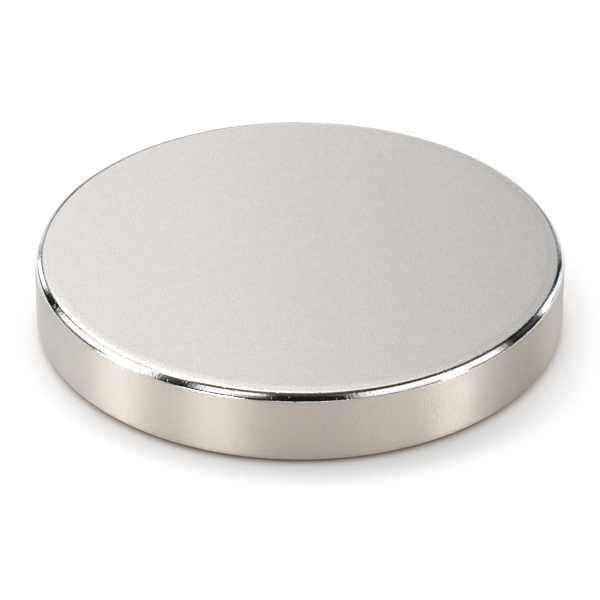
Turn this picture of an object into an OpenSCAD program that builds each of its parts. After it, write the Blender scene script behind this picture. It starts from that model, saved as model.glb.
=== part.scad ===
// Disc magnet: a solid round disc with two flat faces, a straight wall and
// tumbled edges. It lies on the plane z = 0 with its axis along +Z, and the
// origin is the centre of its lower face. All sizes are in millimetres.

/* [Disc] */
// Diameter over the wall
disc_d = 20; // [8:0.5:60]
// Thickness from one flat face to the other
disc_t = 3; // [1.6:0.1:12]

/* [Tumbled edge] */
// Radius of the tight corner that runs into the wall
corner_r = 0.38; // [0.1:0.02:0.6]
// Radius of the gentle wear that leads from the flat face into the corner
lead_r = 1.4; // [0.8:0.1:2]
// Slope in degrees that the gentle wear has reached where the corner takes over
lead_angle = 16; // [4:1:24]

/* [Hidden] */
$fn = 180;

// Radius of the wall
disc_r = disc_d / 2;
// Where the corner begins, measured from its centre
corner_in = corner_r * sin(lead_angle);
corner_up = corner_r * cos(lead_angle);
// Radius at which the gentle wear gives way to the corner
join_r = disc_r - corner_r + corner_in;
// Depth below the flat face at that radius
join_depth = lead_r * (1 - cos(lead_angle));
// Radius of the flat that the tumbling left untouched
flat_r = join_r - lead_r * sin(lead_angle);
// Depth below the flat face at which the straight wall begins
edge_depth = join_depth + corner_up;

// Half section of the disc, cut off straight between the ends of its arcs
module core_section() {
    polygon([
        [0, 0],
        [flat_r, 0],
        [join_r, join_depth],
        [disc_r, edge_depth],
        [disc_r, disc_t - edge_depth],
        [join_r, disc_t - join_depth],
        [flat_r, disc_t],
        [0, disc_t]
    ]);
}

// The two tangent arcs of the edge beside the lower face
module tumbled_edge() {
    intersection() {
        translate([flat_r, lead_r])
            circle(r = lead_r);
        translate([flat_r, 0])
            square([join_r - flat_r, edge_depth]);
    }
    translate([disc_r - corner_r, edge_depth])
        circle(r = corner_r);
}

module magnet_disc() {
    color([0.76, 0.74, 0.71])
        rotate_extrude() {
            core_section();
            tumbled_edge();
            translate([0, disc_t])
                mirror([0, 1])
                    tumbled_edge();
        }
}

magnet_disc();
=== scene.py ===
import math

import bpy
from mathutils import Matrix, Vector


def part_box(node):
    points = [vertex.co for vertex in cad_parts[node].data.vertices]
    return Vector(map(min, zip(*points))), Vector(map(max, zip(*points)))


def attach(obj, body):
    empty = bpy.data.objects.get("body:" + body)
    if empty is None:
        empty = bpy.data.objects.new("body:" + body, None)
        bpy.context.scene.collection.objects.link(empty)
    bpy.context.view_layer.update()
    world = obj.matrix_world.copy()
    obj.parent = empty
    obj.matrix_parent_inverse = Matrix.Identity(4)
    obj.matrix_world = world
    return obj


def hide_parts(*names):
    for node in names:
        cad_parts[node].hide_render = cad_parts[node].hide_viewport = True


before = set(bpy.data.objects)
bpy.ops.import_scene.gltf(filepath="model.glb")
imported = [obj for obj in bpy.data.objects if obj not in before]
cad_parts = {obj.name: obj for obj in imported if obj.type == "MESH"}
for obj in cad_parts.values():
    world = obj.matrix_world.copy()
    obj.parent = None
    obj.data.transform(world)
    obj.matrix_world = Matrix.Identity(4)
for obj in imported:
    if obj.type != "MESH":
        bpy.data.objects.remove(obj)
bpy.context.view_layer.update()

MM = 0.001

# The disc's own sizes, in metres. Its edge is a gentle lead off the flat, then a tight corner.
low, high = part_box("magnet_disc")
DISC_R = (high[0] - low[0]) / 2
DISC_T = high[2] - low[2]
CORNER_R = 0.38 * MM
LEAD_R = 1.4 * MM
LEAD = math.radians(16)
# Where the lead meets the corner and how deep it is there, where the flat ends, where the wall starts.
JOIN_R = DISC_R - CORNER_R + CORNER_R * math.sin(LEAD)
JOIN_DEPTH = LEAD_R * (1 - math.cos(LEAD))
FLAT_R = JOIN_R - LEAD_R * math.sin(LEAD)
EDGE_DEPTH = JOIN_DEPTH + CORNER_R * math.cos(LEAD)

# How finely the mesh is cut: round the disc, out over the flat, and along the lead, corner and wall.
TURNS = 720
FLAT_RINGS = (1.5 * MM, 3 * MM, 4.5 * MM, 6 * MM, 7 * MM, 8 * MM, 8.6 * MM, 9 * MM, FLAT_R - 0.1 * MM)
LEAD_STEPS = 14
CORNER_STEPS = 26
WALL_STEPS = 6
# The ground finish of the wall runs on to the corner, up to where it leans this many degrees.
GROUND_TOP = 72
GROUND_FOOT = 48

# The photograph's camera. Pixels are those of the photograph's frame.
FRAME_PX = 600
FOCAL_PX = 4000.0
FOOT_PX = (299.6, 315.8)
ELEVATION = math.radians(32.46)
ROLL = math.radians(-0.16)
DISTANCE = 15.26 * DISC_R
SENSOR_MM = 36

# Levels of the studio's lights, where 1 renders as white.
SWEEP_LEVEL = 0.968
KEY_LEVEL = 0.60
BOX_LEVEL = 1.14
DARK_LEVEL = 0.01
LAMP_OVER_LEVEL = 1.15
LAMP_AHEAD_LEVEL = 0.85
# How much more of that light matt surfaces get, as a share.
DIFFUSE_GAIN = 0.55
# Angles of the studio, in degrees: how soft the sweep's end is and the slope where the key is brightest.
SWEEP_SOFT = 0.8
KEY_TOP = 17.5
# Lamps behind grids: how far off straight ahead they shine, and how steeply the one ahead looks down.
LAMP_SPREAD = math.radians(20)
LAMP_RISE = math.radians(20)

# Hues of the light.
WHITE = (1.0, 1.0, 1.0, 1)
SWEEP_HUE = (0.993, 1.0, 1.018, 1)
FRONT_HUE = (0.995, 0.995, 0.995, 1)
SIDE_HUE = (0.945, 1.0, 1.075, 1)
LOW_HUE = (0.955, 1.0, 1.055, 1)
ROOM_HUE = (1.0, 0.72, 0.50, 1)

# The floor and the shadow on it. The shadow near the disc is painted into the floor's colour from ambient
# occlusion, over the real shadow its matt surface takes, and warmed at the contact by a painted glow.
FLOOR_HALF = 6.0
FLOOR_WHITE = 0.94
FLOOR_LIFT = 0.28
SHADE_REACH = 1.85 * MM
SHADE_SIDE = (-0.09, 0.88, 0.42)
SHADE_DEPTH = 0.68
CONTACT_REACH = 0.75 * MM
CONTACT_POWER = 0.6
CONTACT_GAIN = 1.27
# painted warm glow at the contact, in place of light from the metal
PAINTED_CONTACT_WARMTH = (1.0, 0.81, 0.68, 1)
SHADE_SAMPLES = 12
# Painted glow of the floor, seen only by the metal, at its left and its right, and how cool it is at both
# ends.
PAINTED_GLOW_LEFT = 0.39
PAINTED_GLOW_RIGHT = 0.06
PAINTED_GLOW_HUE = (0.84, 1.01, 1.20, 1)

# Nickel: darkest and lightest grain of the flat, a painted highlight for the polished round, and the ground
# wall.
FLAT_DARK = (0.620, 0.592, 0.560, 1)
FLAT_LIGHT = (0.792, 0.758, 0.720, 1)
ROUND_PAINTED_HIGHLIGHT = (0.95, 0.93, 0.905, 1)
# the ground wall's colours are nickel's own warm tint, made warmer than the flat's as a painted warm
# reflection of the floor
WALL_DARK = (0.635, 0.573, 0.508, 1)
WALL_LIGHT = (0.775, 0.701, 0.623, 1)
FLAT_ROUGHNESS = 0.19
ROUND_ROUGHNESS = 0.07
WALL_ROUGHNESS = 0.38
# How fine the finish is, in features to the metre, and how deep its bump is.
GRAIN = 16000.0
MOTTLE = 3200.0
PEEL = 7000.0
PITS = 8000.0
NOISE_ROUGHNESS = 0.6
PIT_DEPTH = 0.9
BUMP_DEPTH = 0.02 * MM
# How strong that bump is on the flat, on the lead, on the polished round and on the ground wall.
FLAT_BUMP = 0.07
LEAD_BUMP = 0.02
ROUND_BUMP = 0.15
WALL_BUMP = 0.24


def make_camera():
    """The photograph's camera, turned so that the middle of the disc's foot falls where it is there."""
    eye = Vector((0, -DISTANCE * math.cos(ELEVATION), DISTANCE * math.sin(ELEVATION)))
    middle = FRAME_PX / 2
    tilt = ELEVATION - math.atan((FOOT_PX[1] - middle) / FOCAL_PX)
    turn = math.atan((middle - FOOT_PX[0]) / FOCAL_PX)
    ahead = Vector((math.sin(turn) * math.cos(tilt), math.cos(turn) * math.cos(tilt), -math.sin(tilt)))
    right = Vector((math.cos(turn), -math.sin(turn), 0))
    up = right.cross(ahead)
    c, s = math.cos(ROLL), math.sin(ROLL)
    right, up = right * c - up * s, right * s + up * c
    data = bpy.data.cameras.new("camera")
    data.sensor_width = SENSOR_MM
    data.sensor_fit = "HORIZONTAL"
    data.lens = FOCAL_PX * SENSOR_MM / FRAME_PX
    data.clip_start = 0.001
    data.clip_end = 100
    cam = bpy.data.objects.new("camera", data)
    bpy.context.scene.collection.objects.link(cam)
    back = -ahead
    cam.matrix_world = Matrix((
        (right.x, up.x, back.x, eye.x),
        (right.y, up.y, back.y, eye.y),
        (right.z, up.z, back.z, eye.z),
        (0, 0, 0, 1),
    ))
    bpy.context.scene.camera = cam


class Net:
    """A node tree with arithmetic on sockets."""

    def __init__(self, tree):
        self.nodes = tree.nodes
        self.links = tree.links
        self.nodes.clear()

    def add(self, kind, **settings):
        node = self.nodes.new(kind)
        for name, value in settings.items():
            setattr(node, name, value)
        return node

    def put(self, socket, value):
        if isinstance(value, bpy.types.NodeSocket):
            self.links.new(value, socket)
        else:
            socket.default_value = value

    def fill(self, node, values):
        """Fill the node's inputs by name or by number."""
        for name, value in values.items():
            self.put(node.inputs[name], value)
        return node

    def math(self, what, *values):
        node = self.add("ShaderNodeMath", operation=what)
        return self.fill(node, dict(enumerate(values))).outputs[0]

    def degrees(self, what, *values):
        return self.math("DEGREES", self.math(what, *values))

    def minus(self, a, b):
        return self.math("SUBTRACT", a, b)

    def sum(self, *values):
        out = values[0]
        for value in values[1:]:
            out = self.math("ADD", out, value)
        return out

    def mul(self, *values):
        out = values[0]
        for value in values[1:]:
            out = self.math("MULTIPLY", out, value)
        return out

    def length(self, x, y):
        return self.math("SQRT", self.sum(self.mul(x, x), self.mul(y, y)))

    def vector(self, what, *values):
        node = self.add("ShaderNodeVectorMath", operation=what)
        return self.fill(node, dict(enumerate(values))).outputs["Vector"]

    def split(self, vector):
        return self.fill(self.add("ShaderNodeSeparateXYZ"), {0: vector}).outputs

    def join(self, x, y, z):
        return self.fill(self.add("ShaderNodeCombineXYZ"), {0: x, 1: y, 2: z}).outputs[0]

    def rise(self, x, start, end, low=0.0, high=1.0):
        """Smooth step from low to high as x goes from start to end."""
        node = self.add("ShaderNodeMapRange", interpolation_type="SMOOTHSTEP", clamp=True)
        values = {"Value": x, "From Min": start, "From Max": end, "To Min": low, "To Max": high}
        return self.fill(node, values).outputs["Result"]

    def steps(self, x, *rows):
        """Sum of smooth steps. Each row is start, end, low and high."""
        return self.sum(*[self.rise(x, *row) for row in rows])

    def band(self, x, start, end, soft):
        """1 from start to end, with soft edges centred on them."""
        up = self.rise(x, start - soft, start + soft)
        down = self.rise(x, end - soft, end + soft, 1.0, 0.0)
        return self.mul(up, down)

    def spread(self, x, start, end):
        """Straight stretch of start to end over 0 to 1."""
        node = self.add("ShaderNodeMapRange", interpolation_type="LINEAR", clamp=True)
        return self.fill(node, {"Value": x, "From Min": start, "From Max": end}).outputs["Result"]

    def noise(self, place, scale, detail):
        node = self.add("ShaderNodeTexNoise", noise_dimensions="3D")
        values = {"Vector": place, "Scale": scale, "Detail": detail, "Roughness": NOISE_ROUGHNESS}
        return self.fill(node, values).outputs[0]

    def mix(self, factor, a, b, kind="RGBA"):
        node = self.add("ShaderNodeMix", data_type=kind)
        sockets = [s for s in node.inputs if s.enabled]
        for socket, value in zip(sockets, (factor, a, b)):
            self.put(socket, value)
        return [s for s in node.outputs if s.enabled][0]

    def open_share(self, reach, normal=None):
        """How much of the space round a point is open, within reach and to the side of normal."""
        node = self.add("ShaderNodeAmbientOcclusion", samples=SHADE_SAMPLES)
        self.put(node.inputs["Distance"], reach)
        if normal is not None:
            self.put(node.inputs["Normal"], normal)
        return node.outputs["AO"]

    def bump(self, height, strength):
        node = self.add("ShaderNodeBump")
        values = {"Height": height, "Distance": BUMP_DEPTH, "Strength": strength}
        return self.fill(node, values).outputs[0]

    def shader(self, kind, values):
        return self.fill(self.add(kind), values).outputs[0]

    def both(self, a, b):
        return self.shader("ShaderNodeAddShader", {0: a, 1: b})

    def finish(self, kind, surface):
        self.fill(self.add(kind), {"Surface": surface})


class Studio:
    """How bright the room is in each direction.

    A direction is named by the bit of rim that would mirror it into the lens, in degrees: turn is the side
    of the rim (0 is the front, minus is left) and slope is how far that bit of rim leans from level.
    """

    def __init__(self, net, ray):
        to_lens = (0.0, -math.cos(ELEVATION), math.sin(ELEVATION))
        half_x, half_y, half_z = net.split(net.vector("NORMALIZE", net.vector("ADD", ray, to_lens)))
        self.net = net
        self.turn = net.degrees("ARCTAN2", half_x, net.mul(half_y, -1.0))
        self.slope = net.degrees("ARCCOSINE", half_z)

    def panel(self, level, turn_lo, turn_hi, turn_soft, slope_lo, slope_hi, slope_soft, lean=0.0):
        """A panel with soft edges. lean is how many degrees of slope it rises for each degree of turn."""
        net, at = self.net, self.slope
        if lean:
            off_middle = net.minus(self.turn, (turn_lo + turn_hi) / 2)
            at = net.minus(self.slope, net.mul(off_middle, lean))
        across = net.band(self.turn, turn_lo, turn_hi, turn_soft)
        return net.mul(across, net.band(at, slope_lo, slope_hi, slope_soft), level)

    def panels(self, *rows):
        """Panels added up. Each row is a level, then start, end and softness of turn and of slope."""
        return self.net.sum(*[self.panel(*row) for row in rows])

    def cut(self, light, gap):
        """The light with a gap in it."""
        return self.net.mul(light, self.net.minus(1.0, gap))

    def sweep(self):
        """Back sweep, which the flat mirrors, with the key lamp glowing on it behind the disc at its left."""
        net, turn, slope = self.net, self.turn, self.slope
        end = net.steps(
            turn, (-128, -88, 14.8, 19.1), (-62, -50, 0.0, 1.8), (-46, -40, 0.0, -1.2), (-33, -20, 0.0, 0.6),
            (-3, 8, 0.0, 1.6), (26, 50, 0.0, -2.4), (55, 75, 0.0, 0.8), (88, 118, 0.0, -2.4))
        inside = net.rise(net.minus(slope, end), -SWEEP_SOFT, SWEEP_SOFT, 1.0, 0.0)
        # brightest at the left in front, darkest at the right
        side = net.steps(turn, (-152, -50, 0.0, 0.18), (-22, 76, 0.0, -0.465), (105, 180, 0.0, 0.23))
        reach = net.steps(slope, (0.0, 2.6, 0.0, 1.4), (5, 10, 0.0, -0.4))
        sweep = net.mul(net.sum(SWEEP_LEVEL, net.mul(side, reach)), net.rise(slope, 16.5, 18, 1.0, 0.80))
        key_start = net.steps(turn, (-35, 0, 8.0, 12.5), (-85, -60, 4.0, 0.0))
        key_share = net.math("DIVIDE", net.minus(slope, key_start), net.minus(KEY_TOP, key_start))
        key = net.mul(
            net.rise(turn, -88, -58), net.rise(turn, -28, 16, 1.0, 0.22), net.rise(turn, 24, 50, 1.0, 0.0),
            net.rise(key_share, 0.0, 1.0), KEY_LEVEL)
        return net.mul(net.sum(sweep, key), inside)

    def behind(self):
        """Walls of the room behind the disc and beside it."""
        net, turn, slope = self.net, self.turn, self.slope
        left = net.mul(net.rise(turn, -128, -106, 1.0, 0.0), net.rise(slope, 14.8, 18.4), 0.72)
        right = net.mul(net.rise(turn, 100, 122, 0.0, 1.0), net.rise(slope, 16, 21), 0.88)
        beside = self.panels((0.76, -112, -90, 6, 21.5, 80, 1.5), (0.54, 90, 112, 6, 24, 50, 3))
        return net.sum(left, right, beside)

    def boxes(self):
        """Softboxes in front, low over the disc, from left to right. Three have an end cut off."""
        return self.net.sum(
            self.panel(BOX_LEVEL, -87.5, -75.5, 2, 23.5, 46, 2),
            self.cut(
                self.panel(BOX_LEVEL, -65.2, -32.6, 2.4, 24.6, 70, 2),
                self.panel(0.87, -76, -46, 2.5, 53, 76, 3, 0.25)),
            self.panel(BOX_LEVEL, -33, -25, 3, 18, 30, 3),
            self.cut(
                self.panel(BOX_LEVEL, -22.6, -7.8, 2.5, 34.5, 62, 3),
                self.panel(0.8, -13, -3, 4, 49, 80, 5)),
            self.panel(BOX_LEVEL, 13.0, 49.5, 4, 37, 67, 3, -0.2),
            self.cut(
                self.panel(BOX_LEVEL, 66, 83.5, 2.5, 29, 52, 3),
                self.panel(1.0, 74, 95, 3, 16, 42.5, 4, 0.6)),
        )

    def feet(self):
        """Bright feet of the boxes, which the ground wall smears upwards."""
        return self.panels(
            (11.0, -48.2, -38.0, 1.5, 66, 76, 2),
            (17.0, -25.0, -13.5, 2.6, 71, 77, 1.5),
            (2.7, -6, 11, 4, 72, 77, 1),
            (40.0, 33.0, 38.0, 1.2, 69, 76, 1.5),
            (2.0, 67, 70.5, 1.5, 46, 60, 3),
        )

    def gaps(self):
        """Faint light between the boxes, and along the horizon."""
        net, turn, slope = self.net, self.turn, self.slope
        horizon = net.mul(
            net.rise(slope, 66, 76), net.band(turn, -88, 92, 8), net.rise(turn, -28, -6, 0.44, 0.09))
        between = self.panels(
            (0.08, -34, -27, 3, 26, 56, 8),
            (0.04, -9, 14, 4, 22, 42, 4),
            (0.075, 7, 13, 2, 37, 48, 4),
            (0.06, 56, 64, 3, 34, 50, 6),
            (0.07, 74, 92, 4, 19, 28, 4),
        )
        return net.sum(horizon, between)

    def light(self):
        return self.net.sum(DARK_LEVEL, self.sweep(), self.behind(), self.boxes(), self.feet(), self.gaps())

    def hue(self):
        """Cooler to both sides and low down than in front."""
        net = self.net
        hue = net.mix(net.rise(net.math("ABSOLUTE", self.turn), 50, 86), FRONT_HUE, SIDE_HUE)
        hue = net.mix(net.rise(self.slope, 50, 66), hue, LOW_HUE)
        return net.mix(net.rise(self.slope, 13, 22), SWEEP_HUE, hue)

    def room(self):
        """Brown of the room between the sweep and the boxes."""
        return self.panels((0.15, -24, 50, 6, 22.0, 29, 3), (0.36, -62, -28, 5, 21, 24, 2))


def make_world():
    """Soft white studio. It is plain white below the horizon, and wherever the camera sees it."""
    world = bpy.data.worlds.new("studio")
    bpy.context.scene.world = world
    world.use_nodes = True
    net = Net(world.node_tree)
    ray = net.vector("NORMALIZE", net.add("ShaderNodeTexCoord").outputs["Generated"])
    studio = Studio(net, ray)
    path = net.add("ShaderNodeLightPath").outputs
    gain = net.math("MULTIPLY_ADD", path["Is Diffuse Ray"], DIFFUSE_GAIN, 1.0)
    glow = {"Color": studio.hue(), "Strength": net.mul(studio.light(), gain)}
    room = {"Color": ROOM_HUE, "Strength": studio.room()}
    lit = net.both(net.shader("ShaderNodeBackground", glow), net.shader("ShaderNodeBackground", room))
    plain = net.shader("ShaderNodeBackground", {"Color": WHITE, "Strength": 1.0})
    below = net.rise(net.split(ray)[2], -0.02, 0.0, 1.0, 0.0)
    seen = net.math("MAXIMUM", path["Is Camera Ray"], below)
    net.finish("ShaderNodeOutputWorld", net.shader("ShaderNodeMixShader", {0: seen, 1: lit, 2: plain}))


def make_lamp(name, place, tilt, shape, size, level):
    """A lamp behind a grid: as bright as level straight ahead, and fading to nothing at its spread."""
    data = bpy.data.lights.new(name, "AREA")
    data.shape = shape
    data.size, data.size_y = size
    data.spread = 2 * LAMP_SPREAD
    area = size[0] * size[1] * (math.pi / 4 if shape == "ELLIPSE" else 1)
    # watts, which Blender shares out over four times the area and gathers into the spread
    data.energy = level * 4 * area * (math.tan(LAMP_SPREAD) - LAMP_SPREAD) / math.tan(LAMP_SPREAD)
    lamp = bpy.data.objects.new(name, data)
    lamp.location = place
    lamp.rotation_euler = (tilt, 0, 0)
    lamp.visible_camera = False
    lamp.visible_diffuse = False
    lamp.visible_transmission = False
    bpy.context.scene.collection.objects.link(lamp)


def make_lamps():
    """Lamps that the flat mirrors when it is looked at from above and from behind. The round misses them."""
    over = DISC_T + 1.0 * MM
    make_lamp("lamp_over", (0, 0, over), 0.0, "ELLIPSE", (2 * FLAT_R, 2 * FLAT_R), LAMP_OVER_LEVEL)
    # the lamp ahead is this far off the disc's middle, and reaches from start to end up its own plane
    off, start, end = 11 * MM, -0.5 * MM, 12 * MM
    middle = (start + end) / 2
    c, s = math.cos(LAMP_RISE), math.sin(LAMP_RISE)
    ahead = (0, middle * s - off * c, middle * c + off * s)
    size = (22 * MM, end - start)
    make_lamp("lamp_ahead", ahead, math.pi / 2 - LAMP_RISE, "RECTANGLE", size, LAMP_AHEAD_LEVEL)


def new_material(name):
    mat = bpy.data.materials.new(name)
    mat.use_nodes = True
    return mat, Net(mat.node_tree)


def painted_floor_shade(net):
    """Painted shade of the floor where it meets the disc, from ambient occlusion, and a painted warm glow
    there in place of light from the metal.
    """
    side = net.join(*Vector(SHADE_SIDE).normalized())
    hidden = net.minus(1.0, net.open_share(SHADE_REACH, side))
    wide = net.math("MULTIPLY_ADD", net.mul(hidden, hidden), -SHADE_DEPTH, 1.0)
    close = net.math("POWER", net.open_share(CONTACT_REACH), CONTACT_POWER)
    contact = net.math("MINIMUM", net.mul(close, CONTACT_GAIN), 1.0)
    painted_warmth = net.mix(net.spread(contact, 0.3, 1.0), PAINTED_CONTACT_WARMTH, WHITE)
    return net.mul(wide, contact), painted_warmth


def floor_painted_glow(net, shade):
    """A painted glow of the floor, seen only by the metal and dimmed by the painted shade: brighter on its
    left, cooler at both ends, dark far off.
    """
    x, y = net.split(net.add("ShaderNodeNewGeometry").outputs["Position"])[:2]
    ends = net.rise(net.math("ABSOLUTE", x), 0.7 * DISC_R, 1.15 * DISC_R)
    across = net.rise(x, -1.4 * DISC_R, 2.0 * DISC_R, PAINTED_GLOW_LEFT, PAINTED_GLOW_RIGHT)
    away = net.rise(net.length(x, y), 1.2 * DISC_R, 2.2 * DISC_R, 1.0, 0.1)
    hue = net.mix(ends, WHITE, PAINTED_GLOW_HUE)
    return net.shader("ShaderNodeEmission", {"Color": hue, "Strength": net.mul(shade, across, away)})


def floor_material():
    """Matt white, which the camera sees lifted to a white page, and metal sees with a painted glow at a level
    of its own.
    """
    mat, net = new_material("floor")
    shade, painted_warmth = painted_floor_shade(net)
    path = net.add("ShaderNodeLightPath").outputs
    # painted shadow and warmth: the matt colour and the lift are darkened and warmed by the painted shade
    white = net.vector("SCALE", painted_warmth)
    net.put(white.node.inputs["Scale"], net.mul(shade, FLOOR_WHITE))
    matt = net.shader("ShaderNodeBsdfDiffuse", {"Color": white})
    seen = net.math("MAXIMUM", path["Is Camera Ray"], path["Is Transmission Ray"])
    lift = net.shader("ShaderNodeEmission", {"Color": painted_warmth, "Strength": net.mul(seen, shade, FLOOR_LIFT)})
    # painted glow that only glossy rays see
    painted_glow = floor_painted_glow(net, net.mul(path["Is Glossy Ray"], shade))
    net.finish("ShaderNodeOutputMaterial", net.both(matt, net.both(lift, painted_glow)))
    return mat


def make_floor():
    s = FLOOR_HALF
    mesh = bpy.data.meshes.new("floor")
    mesh.from_pydata([(-s, -s, 0), (s, -s, 0), (s, s, 0), (-s, s, 0)], [], [(0, 1, 2, 3)])
    mesh.materials.append(floor_material())
    floor = bpy.data.objects.new("floor", mesh)
    bpy.context.scene.collection.objects.link(floor)


def corner_height(degrees):
    """How far past the end of the wall the corner leans this many degrees."""
    return CORNER_R * math.cos(math.radians(degrees))


def half_profile():
    """Points (radius, depth below the face) from near the centre out to the start of the straight wall."""
    points = [(r, 0.0) for r in FLAT_RINGS]
    for i in range(LEAD_STEPS + 1):
        a = LEAD * i / LEAD_STEPS
        points.append((FLAT_R + LEAD_R * math.sin(a), LEAD_R * (1 - math.cos(a))))
    for i in range(1, CORNER_STEPS + 1):
        a = LEAD + (math.pi / 2 - LEAD) * i / CORNER_STEPS
        points.append((DISC_R - CORNER_R + CORNER_R * math.sin(a), EDGE_DEPTH - CORNER_R * math.cos(a)))
    return points


def disc_rings():
    """Rings (radius, height) of the disc from its top face down to its bottom face."""
    half = half_profile()
    wall_h = DISC_T - 2 * EDGE_DEPTH
    wall = [(DISC_R, DISC_T - EDGE_DEPTH - wall_h * i / WALL_STEPS) for i in range(1, WALL_STEPS)]
    return [(r, DISC_T - d) for r, d in half] + wall + half[::-1]


def make_disc():
    """The disc as one closed skin of rings. Its faces and round have slot 0, and the ground wall slot 1."""
    rings = disc_rings()
    verts = [(0.0, 0.0, DISC_T)]
    for r, z in rings:
        for k in range(TURNS):
            a = 2 * math.pi * k / TURNS
            verts.append((r * math.cos(a), r * math.sin(a), z))
    verts.append((0.0, 0.0, 0.0))
    faces = []
    slots = []
    last_ring = 1 + (len(rings) - 1) * TURNS
    for k in range(TURNS):
        n = (k + 1) % TURNS
        faces.append((0, 1 + k, 1 + n))
        faces.append((len(verts) - 1, last_ring + n, last_ring + k))
        slots += [0, 0]
    ground_top = DISC_T - EDGE_DEPTH + corner_height(GROUND_TOP)
    ground_foot = EDGE_DEPTH - corner_height(GROUND_FOOT)
    for i in range(len(rings) - 1):
        a0 = 1 + i * TURNS
        b0 = a0 + TURNS
        middle = (rings[i][1] + rings[i + 1][1]) / 2
        slot = 1 if ground_foot < middle < ground_top else 0
        for k in range(TURNS):
            n = (k + 1) % TURNS
            faces.append((a0 + k, b0 + k, b0 + n, a0 + n))
            slots.append(slot)
    mesh = bpy.data.meshes.new("disc")
    mesh.from_pydata(verts, [], faces)
    mesh.update()
    for polygon, slot in zip(mesh.polygons, slots):
        polygon.use_smooth = True
        polygon.material_index = slot
    disc = bpy.data.objects.new("disc", mesh)
    bpy.context.scene.collection.objects.link(disc)
    return disc


def fine_noise(net, place, scale, detail):
    """Noise stretched to use the whole of 0 to 1."""
    return net.spread(net.noise(place, scale, detail), 0.35, 0.65)


def tumbled_dents(net, place):
    """Relief of the round: a fine orange peel with a few small pits."""
    cells = net.add("ShaderNodeTexVoronoi", voronoi_dimensions="3D", feature="F1")
    net.fill(cells, {"Vector": place, "Scale": PITS})
    pick = net.fill(net.add("ShaderNodeSeparateColor"), {0: cells.outputs["Color"]}).outputs[0]
    pits = net.mul(net.rise(cells.outputs["Distance"], 0.10, 0.42, 1.0, 0.0), net.rise(pick, 0.60, 0.66))
    return net.minus(net.noise(place, PEEL, 2.0), net.mul(pits, PIT_DEPTH))


def nickel_faces():
    """Satin on the flats, polished where tumbling has rounded the edge, with a painted highlight on the round
    where it leans gently.
    """
    mat, net = new_material("nickel_faces")
    place = net.add("ShaderNodeTexCoord").outputs["Object"]
    x, y, z = net.split(place)
    radius = net.length(x, y)
    worn = net.rise(radius, FLAT_R + 0.06 * MM, FLAT_R + 0.26 * MM)
    polished = net.rise(radius, JOIN_R - 0.04 * MM, JOIN_R + 0.02 * MM)
    # painted highlight: the round's colour is near white where it leans less than about 60 degrees
    off_middle = net.math("ABSOLUTE", net.minus(z, DISC_T / 2))
    wall_end = DISC_T / 2 - EDGE_DEPTH
    gentle = net.rise(off_middle, wall_end + corner_height(66), wall_end + corner_height(57))
    grain = fine_noise(net, place, GRAIN, 3.0)
    mottle = fine_noise(net, place, MOTTLE, 2.0)
    tone = net.sum(net.mul(grain, 0.85), net.mul(mottle, 0.15))
    relief = net.mix(polished, grain, tumbled_dents(net, place), "FLOAT")
    strength = net.mix(polished, net.mix(worn, FLAT_BUMP, LEAD_BUMP, "FLOAT"), ROUND_BUMP, "FLOAT")
    net.finish("ShaderNodeOutputMaterial", net.shader("ShaderNodeBsdfPrincipled", {
        "Base Color": net.mix(net.mul(polished, gentle), net.mix(tone, FLAT_DARK, FLAT_LIGHT), ROUND_PAINTED_HIGHLIGHT),
        "Metallic": 1.0,
        "Roughness": net.mix(worn, FLAT_ROUGHNESS, ROUND_ROUGHNESS, "FLOAT"),
        "Normal": net.bump(relief, strength),
    }))
    return mat


def nickel_wall():
    """Ground wall: fine scratches that run round it smear what it mirrors up and down."""
    mat, net = new_material("nickel_wall")
    place = net.add("ShaderNodeTexCoord").outputs["Object"]
    # long round the wall, short up it
    along = net.vector("MULTIPLY", place, (0.06, 0.06, 1.0))
    streak = net.noise(along, GRAIN, 3.0)
    speck = fine_noise(net, place, GRAIN, 3.0)
    mottle = net.noise(place, MOTTLE, 2.0)
    height = net.sum(net.mul(streak, 0.3), net.mul(speck, 0.7))
    tone = net.sum(net.mul(height, 0.8), net.mul(mottle, 0.2))
    net.finish("ShaderNodeOutputMaterial", net.shader("ShaderNodeBsdfPrincipled", {
        # painted reflection: the wall's colour is warmer than the flat's for the warm floor it mirrors
        "Base Color": net.mix(tone, WALL_DARK, WALL_LIGHT),
        "Metallic": 1.0,
        "Roughness": WALL_ROUGHNESS,
        "Anisotropic": 1.0,
        "Anisotropic Rotation": 0.25,
        "Tangent": net.add("ShaderNodeTangent", direction_type="RADIAL", axis="Z").outputs[0],
        "Normal": net.bump(height, WALL_BUMP),
    }))
    return mat


make_camera()
make_world()
make_floor()
make_lamps()
disc = make_disc()
disc.data.materials.append(nickel_faces())
disc.data.materials.append(nickel_wall())
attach(disc, "root")
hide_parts("magnet_disc")

bpy.context.scene.view_settings.view_transform = "Standard"
